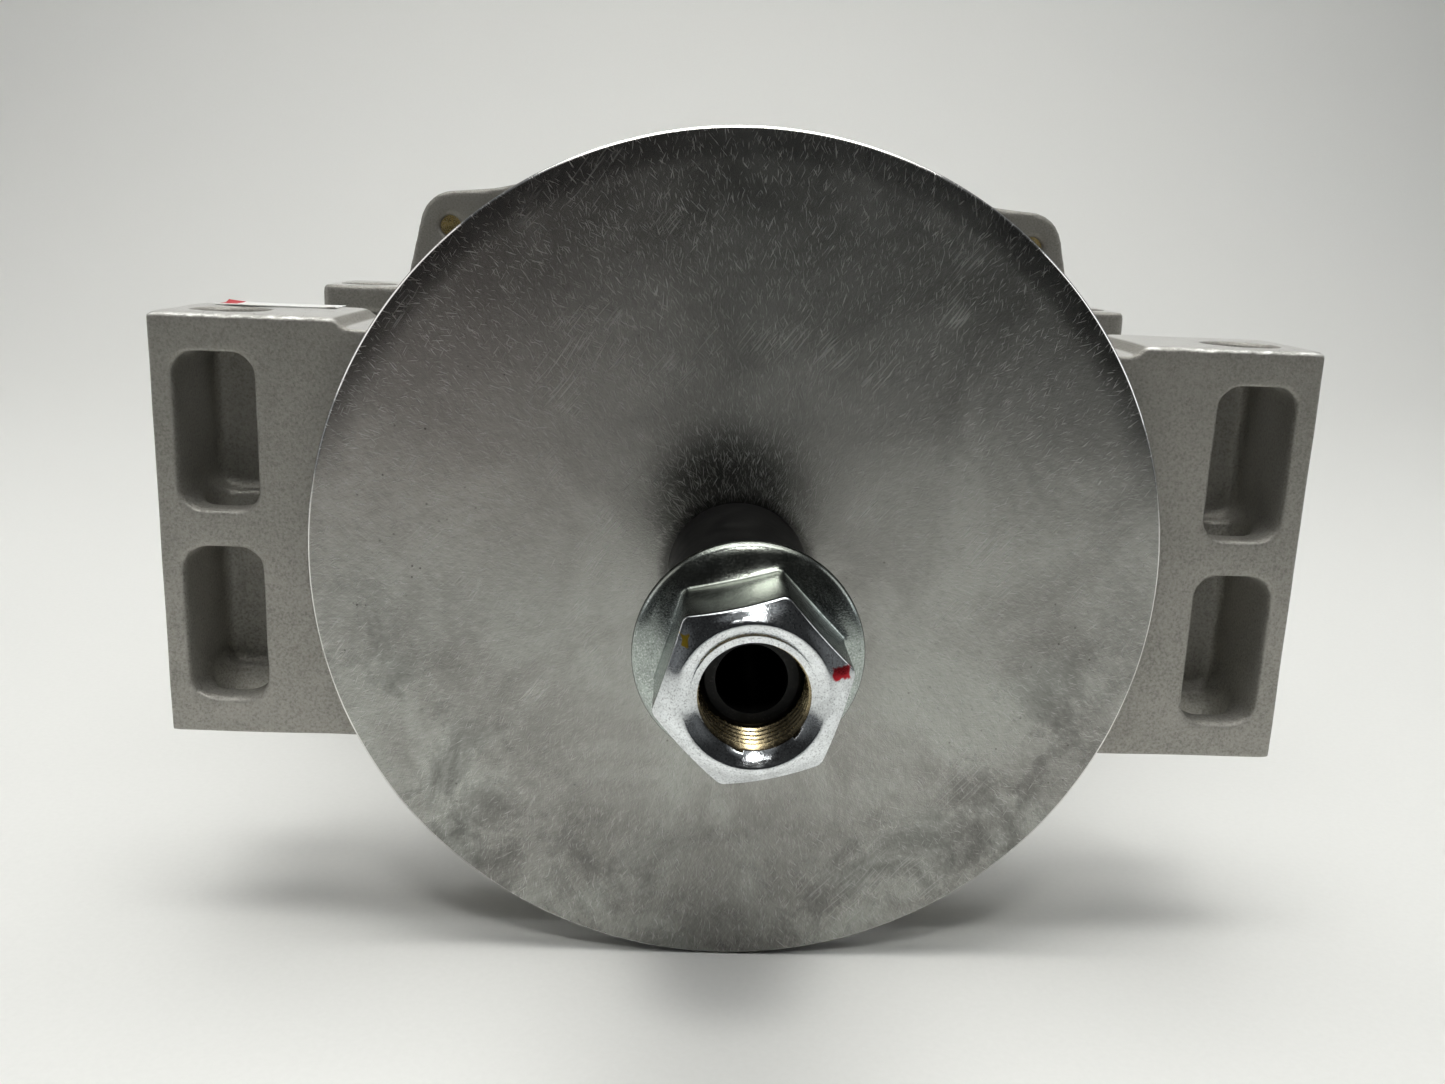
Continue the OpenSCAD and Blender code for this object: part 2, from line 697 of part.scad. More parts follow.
front_housing();
front_bearing_cap();
bearing_cap_screws();
front_shaft_seal();
outer_ring(front_brg);  // front_bearing_outer_ring
inner_ring(front_brg);  // front_bearing_inner_ring
color(bright_colour) balls(front_brg, front_brg[4]);  // front_bearing_balls
cage(front_brg);  // front_bearing_cage
bearing_spacer_sleeve();
spindle_tube();
spindle_tube_orings();
tie_bolts();
rack_housing();
outer_ring(rear_brg);  // rear_bearing_outer_ring
inner_ring(rear_brg);  // rear_bearing_inner_ring
color(bright_colour) balls(rear_brg, rear_brg[4]);  // rear_bearing_balls
cage(rear_brg);  // rear_bearing_cage
rear_bearing_circlip();
rear_cover();
rear_cover_gasket();
rear_cover_screws();
rear_bush();
rear_shaft_seal();
color(bright_colour) mirror([1, 0, 0]) end_plugs(false);  // left_end_plugs
color(bright_colour) end_plugs(true);  // right_end_plugs
end_plug_orings();
end_plug_circlips();
stroke_lock_nuts();
color(black_colour) stroke_screw();  // upper_stroke_screw
color(black_colour) below() stroke_screw();  // lower_stroke_screw
output_shaft();
output_disc();
disc_screws();
flange_nut();
pinion();
pinion_key();
pinion_circlip();
color(steel_colour) rack();  // upper_rack
color(steel_colour) below() rack();  // lower_rack
color(bright_colour) pistons();  // upper_pistons
color(bright_colour) below() pistons();  // lower_pistons
color(rubber_colour) piston_seals();  // upper_piston_seals
color(rubber_colour) below() piston_seals();  // lower_piston_seals
color(band_colour) wear_bands();  // upper_wear_bands
color(band_colour) below() wear_bands();  // lower_wear_bands
color(black_colour) piston_screws();  // upper_piston_screws
color(black_colour) below() piston_screws();  // lower_piston_screws
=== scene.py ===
"""Looks of the rotary actuator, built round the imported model."""
import json
import math

import bmesh
import bpy
import numpy as np
from mathutils import Euler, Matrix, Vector, noise


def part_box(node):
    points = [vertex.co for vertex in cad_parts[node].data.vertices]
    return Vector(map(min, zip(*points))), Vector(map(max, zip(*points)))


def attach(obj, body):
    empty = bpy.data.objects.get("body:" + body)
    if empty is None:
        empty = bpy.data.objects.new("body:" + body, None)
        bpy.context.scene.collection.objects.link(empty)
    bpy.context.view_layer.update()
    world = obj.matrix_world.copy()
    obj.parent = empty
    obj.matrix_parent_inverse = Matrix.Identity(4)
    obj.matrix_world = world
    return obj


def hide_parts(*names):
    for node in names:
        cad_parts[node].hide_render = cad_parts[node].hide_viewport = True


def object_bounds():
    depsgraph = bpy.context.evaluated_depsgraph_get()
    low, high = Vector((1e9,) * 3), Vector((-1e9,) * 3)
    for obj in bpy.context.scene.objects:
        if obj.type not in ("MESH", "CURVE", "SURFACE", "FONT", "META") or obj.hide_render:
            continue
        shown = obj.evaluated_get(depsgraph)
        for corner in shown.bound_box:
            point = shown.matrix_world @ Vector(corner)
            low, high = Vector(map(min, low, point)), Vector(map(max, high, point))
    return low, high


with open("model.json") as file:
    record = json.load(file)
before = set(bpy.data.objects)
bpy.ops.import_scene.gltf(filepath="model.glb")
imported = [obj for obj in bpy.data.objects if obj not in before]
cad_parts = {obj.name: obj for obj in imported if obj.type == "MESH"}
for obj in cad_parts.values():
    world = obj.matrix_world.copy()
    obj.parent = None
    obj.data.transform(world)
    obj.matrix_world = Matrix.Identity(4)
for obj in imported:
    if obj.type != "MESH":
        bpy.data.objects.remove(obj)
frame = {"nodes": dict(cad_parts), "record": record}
CAD_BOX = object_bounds()
MM = 0.001

# ---- Places, all from the frame ------------------------------------------------------------------

DISC_LOW, DISC_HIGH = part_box("output_disc")
DISC_R = DISC_HIGH.x
NUT_LOW, NUT_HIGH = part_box("flange_nut")
FRONT_LOW, FRONT_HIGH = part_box("front_housing")
FLOOR_Z = CAD_BOX[0].z


# ---- A short way to write node materials ---------------------------------------------------------

class Shader:
    """One material, with its nodes made by short calls. Sizes are in metres on the object."""

    def __init__(self, name):
        self.material = bpy.data.materials.new(name)
        self.material.use_nodes = True
        self.tree = self.material.node_tree
        self.surface = self.tree.nodes["Principled BSDF"]
        self.place = self.node("ShaderNodeTexCoord").outputs["Object"]

    def node(self, kind, **settings):
        made = self.tree.nodes.new(kind)
        for key, value in settings.items():
            setattr(made, key, value)
        return made

    def put(self, value, target):
        """Links a socket, or sets a plain value."""
        if isinstance(value, bpy.types.NodeSocket):
            self.tree.links.new(value, target)
        elif isinstance(value, tuple) and len(value) == 3 and len(target.default_value) == 4:
            target.default_value = (*value, 1)
        else:
            target.default_value = value

    def math(self, operation, a, b=0.0, c=0.0):
        made = self.node("ShaderNodeMath", operation=operation)
        for socket, value in zip(made.inputs, (a, b, c)):
            self.put(value, socket)
        return made.outputs[0]

    def vector(self, operation, a, b=(0, 0, 0)):
        made = self.node("ShaderNodeVectorMath", operation=operation)
        self.put(a, made.inputs[0])
        if operation == "SCALE":
            self.put(b, made.inputs["Scale"])
        else:
            self.put(b, made.inputs[1])
        return made.outputs[0]

    def axes(self, at=None):
        made = self.node("ShaderNodeSeparateXYZ")
        self.put(at or self.place, made.inputs[0])
        return made.outputs[0], made.outputs[1], made.outputs[2]

    def join(self, x, y, z):
        made = self.node("ShaderNodeCombineXYZ")
        for socket, value in zip(made.inputs, (x, y, z)):
            self.put(value, socket)
        return made.outputs[0]

    def noise(self, size, detail=2.0, rough=0.5, at=None, twist=0.0, shift=(0, 0, 0)):
        """Cloudy noise whose features are about size across."""
        made = self.node("ShaderNodeTexNoise")
        moved = self.vector("ADD", at or self.place, shift) if any(shift) else at or self.place
        self.put(moved, made.inputs["Vector"])
        made.inputs["Scale"].default_value = 1 / size
        made.inputs["Detail"].default_value = detail
        made.inputs["Roughness"].default_value = rough
        made.inputs["Distortion"].default_value = twist
        return made.outputs["Fac"]

    def spots(self, size):
        """Distance to the nearest of some scattered points, about size apart."""
        made = self.node("ShaderNodeTexVoronoi", feature="F1")
        self.put(self.place, made.inputs["Vector"])
        made.inputs["Scale"].default_value = 1 / size
        return made.outputs["Distance"]

    def span(self, value, low, high, a=0.0, b=1.0):
        """value from low..high to a..b, held at the ends."""
        made = self.node("ShaderNodeMapRange", clamp=True)
        for socket, number in zip(made.inputs[:5], (value, low, high, a, b)):
            self.put(number, socket)
        return made.outputs["Result"]

    def mix(self, share, a, b):
        """Two colours, the second taken in by share."""
        made = self.node("ShaderNodeMix", data_type="RGBA")
        self.put(share, made.inputs["Factor"])
        self.put(a, made.inputs["A"])
        self.put(b, made.inputs["B"])
        return made.outputs["Result"]

    def bump(self, height, depth, under=None):
        """Relief of that depth in metres for a height of 0..1."""
        made = self.node("ShaderNodeBump")
        made.inputs["Distance"].default_value = depth
        self.put(height, made.inputs["Height"])
        if under is not None:
            self.put(under, made.inputs["Normal"])
        return made.outputs["Normal"]

    def set(self, **inputs):
        """Sets the Principled shader's inputs by their names with spaces as underscores."""
        for key, value in inputs.items():
            self.put(value, self.surface.inputs[key.replace("_", " ")])
        return self.material


def cast_aluminium():
    """Sand-cast aluminium: fine even grain, faint stains, milled and bright on top of the lugs, and
    a painted shade that darkens it towards the top.
    """
    s = Shader("cast_aluminium")
    x, y, z = s.axes()
    _, _, up = s.axes(s.node("ShaderNodeNewGeometry").outputs["Normal"])
    grain = s.noise(0.5 * MM, 3, 0.65)
    coarse = s.noise(2.4 * MM, 3, 0.55, shift=(3, 1, 2))
    stain = s.noise(17 * MM, 4, 0.6, twist=0.6)
    base = s.mix(s.span(stain, 0.3, 0.7), (0.31, 0.30, 0.27), (0.40, 0.385, 0.35))
    base = s.mix(s.span(grain, 0.38, 0.66, 0.0, 0.46), base, (0.58, 0.565, 0.52))
    base = s.mix(s.span(grain, 0.44, 0.30, 0.0, 0.32), base, (0.15, 0.145, 0.13))
    base = s.mix(s.span(coarse, 0.62, 0.75, 0.0, 0.35), base, (0.30, 0.27, 0.235))
    # Painted shade: the colour grows darker with height, up to the tops of the lugs.
    painted_top_shade = s.span(z, -0.5 * PAD_Z, 1.1 * PAD_Z, 0.0, 0.42)
    base = s.mix(painted_top_shade, base, (0.17, 0.16, 0.145))
    top = PAD_Z
    milled = s.math(
        "MULTIPLY", s.span(z, top - 2.5 * MM, top - 2.2 * MM), s.span(up, 0.9, 0.97)
    )
    milled = s.math("MULTIPLY", milled, s.span(z, top + 0.5 * MM, top + 0.3 * MM))
    cutter = s.noise(0.35 * MM, 1, 0.4, at=s.join(s.math("MULTIPLY", x, 0.06), y, 0.0))
    base = s.mix(milled, base, s.mix(cutter, (0.60, 0.59, 0.57), (0.78, 0.77, 0.745)))
    near_front = s.span(s.math("ABSOLUTE", s.math("SUBTRACT", y, FRONT_LOW.y)), 1.1 * MM, 0.5 * MM)
    near_top = s.span(s.math("ABSOLUTE", s.math("SUBTRACT", z, top)), 1.0 * MM, 0.45 * MM)
    burr = s.math("MULTIPLY", s.math("MULTIPLY", near_front, near_top),
                  s.span(s.noise(4 * MM, 4, 0.7, shift=(5, 5, 5)), 0.42, 0.58, 0.25, 1.0))
    base = s.mix(burr, base, (0.86, 0.85, 0.82))
    worn = s.span(s.node("ShaderNodeNewGeometry").outputs["Pointiness"], 0.53, 0.60)
    worn = s.math("MULTIPLY", worn, s.span(s.noise(3 * MM, 2), 0.35, 0.6))
    base = s.mix(s.math("MULTIPLY", worn, 0.5), base, (0.74, 0.73, 0.70))
    rough = s.span(grain, 0.3, 0.7, 0.62, 0.5)
    rough = s.math("ADD", rough, s.math("MULTIPLY", s.math("MAXIMUM", milled, burr), -0.24))
    quiet = s.span(milled, 0.0, 1.0, 1.0, 0.12)
    relief = s.bump(s.math("MULTIPLY", coarse, quiet), 0.16 * MM)
    relief = s.bump(s.math("MULTIPLY", grain, quiet), 0.13 * MM, relief)
    relief = s.bump(s.math("MULTIPLY", cutter, milled), 0.012 * MM, relief)
    return s.set(Base_Color=base, Metallic=0.62, Roughness=rough, Normal=relief)


def ring_place(s):
    """(radius from the shaft's axis, unit direction x, unit direction z)."""
    x, _, z = s.axes()
    flat = s.join(x, 0.0, z)
    radius = s.node("ShaderNodeVectorMath", operation="LENGTH")
    s.put(flat, radius.inputs[0])
    ux, _, uz = s.axes(s.vector("NORMALIZE", flat))
    return radius.outputs["Value"], ux, uz


def strokes(s, radius, ux, uz, slant, turns, length, seed):
    """Short fine lines that run outwards at a steady slant: thin across, millimetres along."""
    turn = s.math("LOGARITHM", s.math("DIVIDE", radius, 10 * MM), math.e)
    swing = s.math("MULTIPLY", turn, slant)
    c, d = s.math("COSINE", swing), s.math("SINE", swing)
    turned_x = s.math("SUBTRACT", s.math("MULTIPLY", ux, c), s.math("MULTIPLY", uz, d))
    turned_z = s.math("MULTIPLY_ADD", ux, d, s.math("MULTIPLY", uz, c))
    across = s.vector("SCALE", s.join(turned_x, 0.0, turned_z), float(turns))
    along = s.math("MULTIPLY_ADD", radius, 1 / (length * MM), seed)
    return s.noise(1.0, 1.0, 0.5, at=s.vector("ADD", across, s.join(seed, along, 0.0)))


def slanted(s, angle, width, length, seed):
    """Straight fine scratches in one direction over the face."""
    x, _, z = s.axes()
    c, d = math.cos(math.radians(angle)), math.sin(math.radians(angle))
    run = s.math("MULTIPLY_ADD", x, c, s.math("MULTIPLY", z, d))
    side = s.math("MULTIPLY_ADD", x, -d, s.math("MULTIPLY", z, c))
    bow = s.math("MULTIPLY", s.noise(20 * MM, 1, 0.5, shift=(seed, 0, 0)), 5 * MM)
    side = s.math("ADD", side, bow)
    return s.noise(1.0, 1.0, 0.5, at=s.join(s.math("DIVIDE", run, length * MM), seed,
                                            s.math("DIVIDE", side, width * MM)))


def ground_steel():
    """The disc: short strokes that run outwards, tarnish, a stained ring, a painted pinkish
    reflection fan on the upper left, and a polished rim whose bright line is partly a painted
    highlight, with a painted shade on its side.
    """
    s = Shader("ground_steel")
    radius, ux, uz = ring_place(s)
    x, _, z = s.axes()
    fine = s.math("ADD", strokes(s, radius, ux, uz, 0.1, 230, 2.4, 0.0),
                  strokes(s, radius, ux, uz, -0.6, 340, 1.6, 4.0))
    fine = s.math("ADD", fine, strokes(s, radius, ux, uz, 0.75, 300, 1.8, 14.0))
    fine = s.math("DIVIDE", fine, 3.0)
    cuts = slanted(s, 62, 0.22, 3.4, 3.0)
    for slant, turns, length, seed in ((0.0, 290, 2.8, 21.0), (0.35, 310, 2.3, 27.0),
                                       (-0.3, 300, 2.5, 33.0), (-0.8, 270, 2.1, 39.0)):
        cuts = s.math("MAXIMUM", cuts, strokes(s, radius, ux, uz, slant, turns, length, seed))
    cuts = s.span(cuts, 0.68, 0.77)
    crossed = s.noise(0.32 * MM, 2, 0.6, twist=1.2)
    patch = s.math("MULTIPLY", s.span(slanted(s, 52, 0.35, 9.0, 5.0), 0.56, 0.66),
                   s.span(s.noise(14 * MM, 2, 0.5, shift=(1, 4, 2)), 0.55, 0.68))
    cuts = s.math("MAXIMUM", cuts, s.math("MULTIPLY", patch, 0.6))
    bright, dark = s.span(fine, 0.52, 0.64), s.span(fine, 0.48, 0.38)
    cloud = s.noise(26 * MM, 4, 0.62, twist=0.8)
    outer = s.span(radius, 0.55 * DISC_R, 0.9 * DISC_R)
    low_half = s.span(z, 0.1 * DISC_R, -0.35 * DISC_R)
    patches = s.span(s.noise(19 * MM, 7, 0.74, twist=0.6, shift=(2, 0, 5)), 0.46, 0.62)
    tarnish = s.math("MULTIPLY", patches, s.math("MULTIPLY", outer, low_half))
    # Painted reflection: a lighter, pinkish fan over the upper left of the face.
    painted_pink_fan = s.math("MULTIPLY", s.span(x, 0.0, -0.6 * DISC_R), s.span(z, -0.1 * DISC_R, 0.5 * DISC_R))
    green = s.math("MULTIPLY", s.span(cloud, 0.42, 0.6), s.span(z, 0.2 * DISC_R, -0.3 * DISC_R))
    base = s.mix(s.span(cloud, 0.34, 0.66), (0.228, 0.226, 0.211), (0.362, 0.360, 0.339))
    base = s.mix(s.math("MULTIPLY", painted_pink_fan, 0.55), base, (0.39, 0.335, 0.315))
    base = s.mix(s.math("MULTIPLY", green, 0.35), base, (0.33, 0.355, 0.325))
    base = s.mix(s.math("MULTIPLY", bright, 0.26), base, (0.58, 0.57, 0.55))
    base = s.mix(s.math("MULTIPLY", dark, 0.28), base, (0.12, 0.118, 0.112))
    base = s.mix(s.math("MULTIPLY", tarnish, 0.60), base, (0.085, 0.082, 0.078))
    base = s.mix(s.math("MULTIPLY", cuts, 0.36), base, (0.74, 0.73, 0.71))
    pits = s.math("MULTIPLY", s.span(s.spots(2.6 * MM), 0.10, 0.05),
                  s.span(s.noise(22 * MM, 3, 0.6, shift=(0, 3, 9)), 0.5, 0.62))
    base = s.mix(s.math("MULTIPLY", pits, 0.8), base, (0.06, 0.055, 0.05))
    ragged = s.math("MULTIPLY_ADD", s.noise(1.3 * MM, 4, 0.75), 3.4 * MM, radius)
    stained = s.span(ragged, 16.4 * MM, 14.7 * MM)
    base = s.mix(s.math("MULTIPLY", stained, 0.75), base, (0.05, 0.048, 0.045))
    # Polished chamfer, whose bright colour is also a painted highlight line along the rim.
    rim = s.span(radius, DISC_R - 0.55 * MM, DISC_R - 0.35 * MM)
    base = s.mix(rim, base, (0.86, 0.85, 0.83))
    # Painted shade: the disc's side is darkened so that only the chamfer shows a bright line.
    side = s.span(radius, DISC_R - 0.10 * MM, DISC_R - 0.05 * MM)
    base = s.mix(side, base, (0.22, 0.218, 0.21))
    rough = s.math("MULTIPLY_ADD", cloud, 0.12, 0.17)
    rough = s.math("ADD", rough, s.math("MULTIPLY", tarnish, 0.18))
    rough = s.math("SUBTRACT", rough, s.math("MULTIPLY", rim, 0.15))
    rough = s.math("ADD", rough, s.math("MULTIPLY", side, 0.30))
    rough = s.math("ADD", rough, s.math("MULTIPLY", cuts, 0.16))
    mixed = s.math("MULTIPLY_ADD", crossed, 0.15, s.math("MULTIPLY", fine, 0.85))
    relief = s.bump(mixed, 0.006 * MM)
    relief = s.bump(cuts, 0.007 * MM, relief)
    tangent = s.node("ShaderNodeTangent", direction_type="RADIAL", axis="Y")
    s.surface.inputs["Anisotropic"].default_value = 0.6
    s.surface.inputs["Anisotropic Rotation"].default_value = 0.25
    return s.set(Base_Color=base, Metallic=1.0, Roughness=rough, Normal=relief,
                 Tangent=tangent.outputs["Tangent"])


def black_steel():
    """Blackened steel with a thin oily sheen, rubbed lighter in places."""
    s = Shader("black_steel")
    cloud = s.noise(5 * MM, 4, 0.6, twist=0.5)
    grain = s.noise(0.3 * MM, 2, 0.5)
    base = s.mix(s.span(cloud, 0.35, 0.7), (0.007, 0.007, 0.007), (0.022, 0.022, 0.021))
    base = s.mix(s.span(grain, 0.6, 0.75, 0.0, 0.4), base, (0.09, 0.085, 0.08))
    rough = s.math("MULTIPLY_ADD", cloud, 0.25, 0.28)
    return s.set(Base_Color=base, Metallic=0.7, Roughness=rough,
                 Normal=s.bump(grain, 0.02 * MM))


def zinc(name, rough_low, rough_high, relief, tone=(0.80, 0.84, 0.85)):
    """Blue-white zinc plate with a mottled grain."""
    s = Shader(name)
    grain = s.noise(0.26 * MM, 2, 0.6)
    cloud = s.noise(4 * MM, 4, 0.6, twist=0.7)
    dull = tuple(0.72 * c for c in tone)
    base = s.mix(s.span(cloud, 0.35, 0.68), dull, tone)
    base = s.mix(s.span(grain, 0.46, 0.32, 0.0, 0.75), base, tuple(0.30 * c for c in tone))
    base = s.mix(s.span(grain, 0.56, 0.68, 0.0, 0.5), base, (0.92, 0.95, 0.94))
    rough = s.span(s.math("MULTIPLY_ADD", grain, 0.5, s.math("MULTIPLY", cloud, 0.5)),
                   0.35, 0.65, rough_low, rough_high)
    return s, base, s.set(Base_Color=base, Metallic=1.0, Roughness=rough,
                          Normal=s.bump(grain, relief * MM))


def zinc_rough():
    """Nut flats and flange, with a painted shade that darkens the upper flats."""
    s, base, _ = zinc("zinc_rough", 0.13, 0.27, 0.016, (0.45, 0.50, 0.47))
    _, _, z = s.axes()
    # Painted shade: the flats are darkened from about 7.5 mm above the axis upwards, with a mottle.
    painted_flat_shade = s.math("MULTIPLY", s.span(z, 7.5 * MM, 11 * MM, 0.0, 0.62),
                 s.span(s.noise(6 * MM, 3, 0.6, shift=(4, 0, 1)), 0.25, 0.5, 0.6, 1.0))
    return s.set(Base_Color=s.mix(painted_flat_shade, base, (0.13, 0.13, 0.105)))


def zinc_bright():
    """Turned chamfer and mouth of the nut, with two small inspection marks in paint."""
    s, base, _ = zinc("zinc_bright", 0.05, 0.15, 0.010, (0.80, 0.83, 0.85))
    x, _, z = s.axes()
    edge = s.math("MULTIPLY", s.noise(1.2 * MM, 2), 1.2 * MM)
    for tone, mark_x, mark_z, half_x, half_z in (
            ((0.50, 0.03, 0.04), 11.5, 3.6, 1.3, 0.9), ((0.72, 0.50, 0.06), -9.4, 7.4, 0.5, 0.7)):
        off_x = s.math("ABSOLUTE", s.math("SUBTRACT", x, mark_x * MM))
        off_z = s.math("ABSOLUTE", s.math("SUBTRACT", z, mark_z * MM))
        near_x = s.math("SUBTRACT", half_x * MM, off_x)
        near_z = s.math("SUBTRACT", half_z * MM, off_z)
        inside = s.math("ADD", s.math("MINIMUM", near_x, near_z),
                        s.math("SUBTRACT", edge, 0.6 * MM))
        base = s.mix(s.span(inside, -0.1 * MM, 0.1 * MM), base, tone)
    return s.set(Base_Color=base)


def zinc_thread():
    """Thread flanks: zinc gone yellow, near black towards the roots."""
    s = Shader("zinc_thread")
    radius, _, _ = ring_place(s)
    grain = s.noise(0.4 * MM, 3, 0.6)
    base = s.mix(s.span(radius, 7.95 * MM, 7.3 * MM), (0.030, 0.022, 0.012), (0.46, 0.38, 0.23))
    base = s.mix(s.span(grain, 0.6, 0.75, 0.0, 0.35), base, (0.70, 0.62, 0.45))
    return s.set(Base_Color=base, Metallic=1.0, Roughness=s.span(grain, 0.3, 0.7, 0.16, 0.32),
                 Normal=s.bump(grain, 0.004 * MM))


def turned(name, tone, deep, rough, metallic=1.0, pitch=0.25):
    """Turned metal: fine rings about Y and a little staining."""
    s = Shader(name)
    radius, _, _ = ring_place(s)
    _, y, _ = s.axes()
    rings = s.noise(1.0, 2, 0.6, at=s.join(s.math("DIVIDE", radius, pitch * MM),
                                           s.math("DIVIDE", y, pitch * MM), 0.0))
    cloud = s.noise(8 * MM, 4, 0.6, twist=0.5)
    base = s.mix(s.span(cloud, 0.35, 0.7), deep, tone)
    base = s.mix(s.span(rings, 0.35, 0.65, 0.0, 0.25), base, tuple(0.6 * c for c in tone))
    return s.set(Base_Color=base, Metallic=metallic,
                 Roughness=s.math("MULTIPLY_ADD", cloud, 0.18, rough),
                 Normal=s.bump(rings, 0.015 * MM))


def moulded(name, tone, rough, grain_size=0.4, relief=0.04):
    """Rubber, plastic or fibre sheet: a fine tooth and faint cloudiness."""
    s = Shader(name)
    grain = s.noise(grain_size * MM, 3, 0.6)
    cloud = s.noise(6 * MM, 3, 0.5)
    base = s.mix(s.span(cloud, 0.35, 0.65), tone, tuple(1.35 * c for c in tone))
    base = s.mix(s.span(grain, 0.58, 0.7, 0.0, 0.35), base, tuple(min(1, 2.2 * c) for c in tone))
    return s.set(Base_Color=base, Roughness=s.math("MULTIPLY_ADD", grain, 0.2, rough),
                 Normal=s.bump(grain, relief * MM))


def blank_label():
    """White film with a plain red corner and a dog-eared, slightly soiled edge."""
    s = Shader("blank_label")
    x, y, _ = s.axes()
    soil = s.noise(5 * MM, 4, 0.65, twist=0.6)
    fibre = s.noise(0.5 * MM, 3, 0.6)
    base = s.mix(s.span(soil, 0.5, 0.72), (0.86, 0.86, 0.84), (0.70, 0.68, 0.63))
    corner = s.math("MULTIPLY", s.span(x, LABEL_RED_X + 0.1 * MM, LABEL_RED_X),
                    s.span(y, LABEL_RED_Y, LABEL_RED_Y + 0.1 * MM))
    base = s.mix(corner, base, (0.50, 0.02, 0.03))
    return s.set(Base_Color=base, Roughness=s.math("MULTIPLY_ADD", fibre, 0.2, 0.42),
                 Normal=s.bump(fibre, 0.01 * MM))


def floor_paper():
    """Plain pale sheet the object stands on."""
    s = Shader("floor_paper")
    tooth = s.noise(1.2 * MM, 3, 0.6)
    base = s.mix(s.span(tooth, 0.3, 0.7), (0.78, 0.78, 0.76), (0.80, 0.80, 0.78))
    return s.set(Base_Color=base, Roughness=0.75, Normal=s.bump(tooth, 0.01 * MM))


# ---- Mesh helpers --------------------------------------------------------------------------------

def make(name, verts, faces, materials):
    """A new mesh object, with its face normals turned outwards."""
    mesh = bpy.data.meshes.new(name)
    mesh.from_pydata(verts, [], faces)
    for material in materials:
        mesh.materials.append(material)
    work = bmesh.new()
    work.from_mesh(mesh)
    bmesh.ops.recalc_face_normals(work, faces=work.faces)
    for face in work.faces:
        face.smooth = True
    work.to_mesh(mesh)
    work.free()
    made = bpy.data.objects.new(name, mesh)
    bpy.context.scene.collection.objects.link(made)
    return made


def rings_to_mesh(name, rings, materials, bands=()):
    """Joins closed rings of points one after the other, the last back to the first. bands gives
    the material of the strip that follows each ring."""
    count = len(rings[0])
    verts = [point for ring in rings for point in ring]
    faces, kinds = [], []
    for r in range(len(rings)):
        after = (r + 1) % len(rings)
        for i in range(count):
            j = (i + 1) % count
            faces.append((r * count + i, r * count + j, after * count + j, after * count + i))
            kinds.append(bands[r] if bands else 0)
    made = make(name, verts, faces, materials)
    for face, kind in zip(made.data.polygons, kinds):
        face.material_index = kind
    return made


def put_on(piece, body, slot, *nodes):
    """Joins a piece to its body and hides the CAD nodes it stands for; slot is not used."""
    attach(piece, body)
    if nodes:
        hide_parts(*nodes)
    return piece


def sharp_by_angle(piece, degrees):
    """Smooth shading, except across edges steeper than that."""
    work = bmesh.new()
    work.from_mesh(piece.data)
    for edge in work.edges:
        flat = len(edge.link_faces) == 2 and edge.calc_face_angle() < math.radians(degrees)
        edge.smooth = flat
    work.to_mesh(piece.data)
    work.free()


# ---- The nut -------------------------------------------------------------------------------------

NUT_AF = 24.3 * MM
NUT_TURN = 13.5                         # degrees, one corner from the +X axis
CONE_SLOPE, CHAMFER_LEAN = 20, 35       # degrees, flange cone and front chamfer
FACE_R = 10.4 * MM                      # where the front chamfer starts
PITCH = 1.5 * MM
THREAD_STEP, THREAD_STEPS = 0.115 * MM, 90


def hex_reach(turn):
    """Distance from the axis to the hexagon's side at that angle in degrees, corners softened."""
    off = (turn - NUT_TURN + 30) % 60 - 30
    side = NUT_AF / 2 / math.cos(math.radians(30 - abs(off)))
    corner = NUT_AF / math.sqrt(3)
    return side - 0.22 * MM * max(0.0, 1 - (corner - side) / (0.35 * MM)) ** 2


